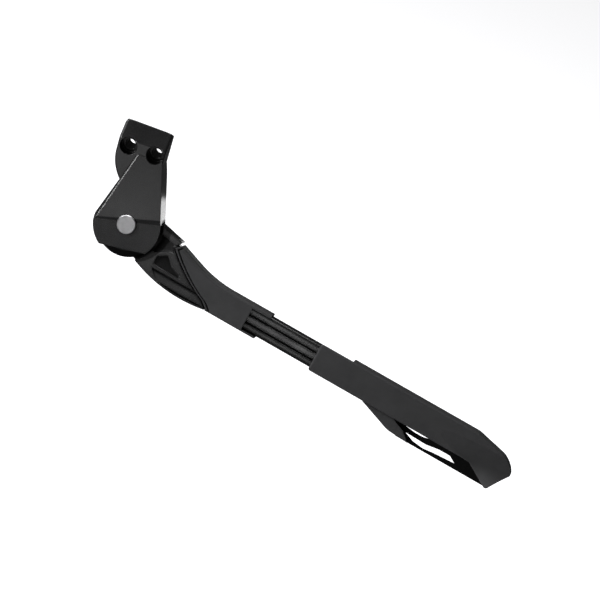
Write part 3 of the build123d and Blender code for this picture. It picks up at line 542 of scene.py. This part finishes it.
def make_camera():
    # gives the point that the camera looks at
    azimuth, elevation, roll = (
        math.radians(angle) for angle in (VIEW_AZIMUTH, VIEW_ELEVATION, VIEW_ROLL)
    )
    level = Vector((math.cos(azimuth), math.sin(azimuth), 0))
    upright = Vector((
        -math.sin(azimuth) * math.sin(elevation),
        math.cos(azimuth) * math.sin(elevation),
        math.cos(elevation),
    ))
    back = level.cross(upright)
    right = level * math.cos(roll) - upright * math.sin(roll)
    up = level * math.sin(roll) + upright * math.cos(roll)
    target = VIEW_ANCHOR + VIEW_SHIFT_RIGHT * right - VIEW_SHIFT_DOWN * up
    camera_data = bpy.data.cameras.new("camera")
    camera_data.sensor_width = SENSOR_MM
    camera_data.lens = SENSOR_MM * VIEW_DISTANCE / VIEW_WIDTH
    camera_data.clip_end = VIEW_END
    camera = bpy.data.objects.new("camera", camera_data)
    turn = Matrix((right, up, back)).transposed().to_4x4()
    camera.matrix_world = Matrix.Translation(target + back * VIEW_DISTANCE) @ turn
    bpy.context.scene.collection.objects.link(camera)
    bpy.context.scene.camera = camera
    return target


def make_lamp(name, target, offset, size, watts):
    # panel that faces the target and lights it, but isn't seen itself
    place = target + Vector(offset)
    lamp_data = bpy.data.lights.new(name, "AREA")
    lamp_data.shape = "RECTANGLE"
    lamp_data.size, lamp_data.size_y = size
    lamp_data.energy = watts
    lamp = bpy.data.objects.new(name, lamp_data)
    lamp.location = place
    lamp.rotation_euler = (target - place).to_track_quat("-Z", "Y").to_euler()
    lamp.visible_camera = False
    bpy.context.scene.collection.objects.link(lamp)


def backdrop_rays(tree):
    # masks of the rays that see the backdrop itself: straight on, and mirrored or passed through
    rays = tree.nodes.new("ShaderNodeLightPath").outputs
    mirrored = math_node(tree, "MAXIMUM", rays["Is Glossy Ray"], rays["Is Transmission Ray"])
    return rays["Is Camera Ray"], mirrored


def make_world():
    # white to the camera; in mirrored rays a pale studio,
    # dimmer overhead, low down, behind and at the sides
    world = bpy.data.worlds.new("studio")
    world.use_nodes = True
    tree = world.node_tree
    background = tree.nodes["Background"]
    background.inputs["Color"].default_value = WHITE
    seen, mirrored = backdrop_rays(tree)
    direction = split_node(tree, tree.nodes.new("ShaderNodeTexCoord").outputs["Generated"])
    overhead = ramp_node(tree, direction["Z"], *CEILING_ZONE, 1.0, STUDIO_CEILING)
    behind = ramp_node(tree, direction["Y"], *BACK_ZONE, 1.0, STUDIO_BACK)
    sideways = math_node(tree, "ABSOLUTE", direction["X"])
    beside = ramp_node(tree, sideways, *SIDES_ZONE, STUDIO_FRONT, STUDIO_FRONT * STUDIO_SIDES)
    low = ramp_node(tree, direction["Z"], *LOW_ZONE, STUDIO_LOW, 1.0)
    height = math_node(tree, "MULTIPLY", overhead, low)
    studio = math_node(tree, "MULTIPLY", math_node(tree, "MULTIPLY", height, behind), beside)
    lit = math_node(tree, "ADD", math_node(tree, "MULTIPLY", studio, mirrored), seen)
    unseen = math_node(tree, "SUBTRACT", 1.0, math_node(tree, "MAXIMUM", seen, mirrored))
    ambient = math_node(tree, "MULTIPLY", unseen, AMBIENT)
    tree.links.new(math_node(tree, "ADD", lit, ambient), background.inputs["Strength"])
    bpy.context.scene.world = world


def make_floor():
    half = FLOOR_SIZE / 2
    corners = [(-half, -half), (half, -half), (half, half), (-half, half)]
    mesh = bpy.data.meshes.new("floor")
    mesh.from_pydata([(x, y, FLOOR_Z) for x, y in corners], [], [(0, 1, 2, 3)])
    floor = bpy.data.objects.new("floor", mesh)
    bpy.context.scene.collection.objects.link(floor)
    material, tree, shader = new_material("floor")
    shader.inputs["Roughness"].default_value = FLOOR_ROUGHNESS
    shader.inputs["Emission Color"].default_value = WHITE
    seen, mirrored = backdrop_rays(tree)
    glow = math_node(tree, "MULTIPLY", seen, FLOOR_SEEN)
    tree.links.new(glow, shader.inputs["Emission Strength"])
    # mirrored rays see it pale in front of the object and dim under and behind it
    place = split_node(tree, tree.nodes.new("ShaderNodeNewGeometry").outputs["Position"])
    reflected = ramp_node(tree, place["Y"], *FLOOR_ZONE, FLOOR_FAR, FLOOR_NEAR)
    colour = colour_mix(tree, mirrored, grey(FLOOR_TONE), reflected)
    tree.links.new(colour, shader.inputs["Base Color"])
    mesh.materials.append(material)


target = make_camera()
make_world()
make_floor()
for name, lamp in LAMPS.items():
    make_lamp(name, target, **lamp)

bpy.context.scene.view_settings.view_transform = "Standard"
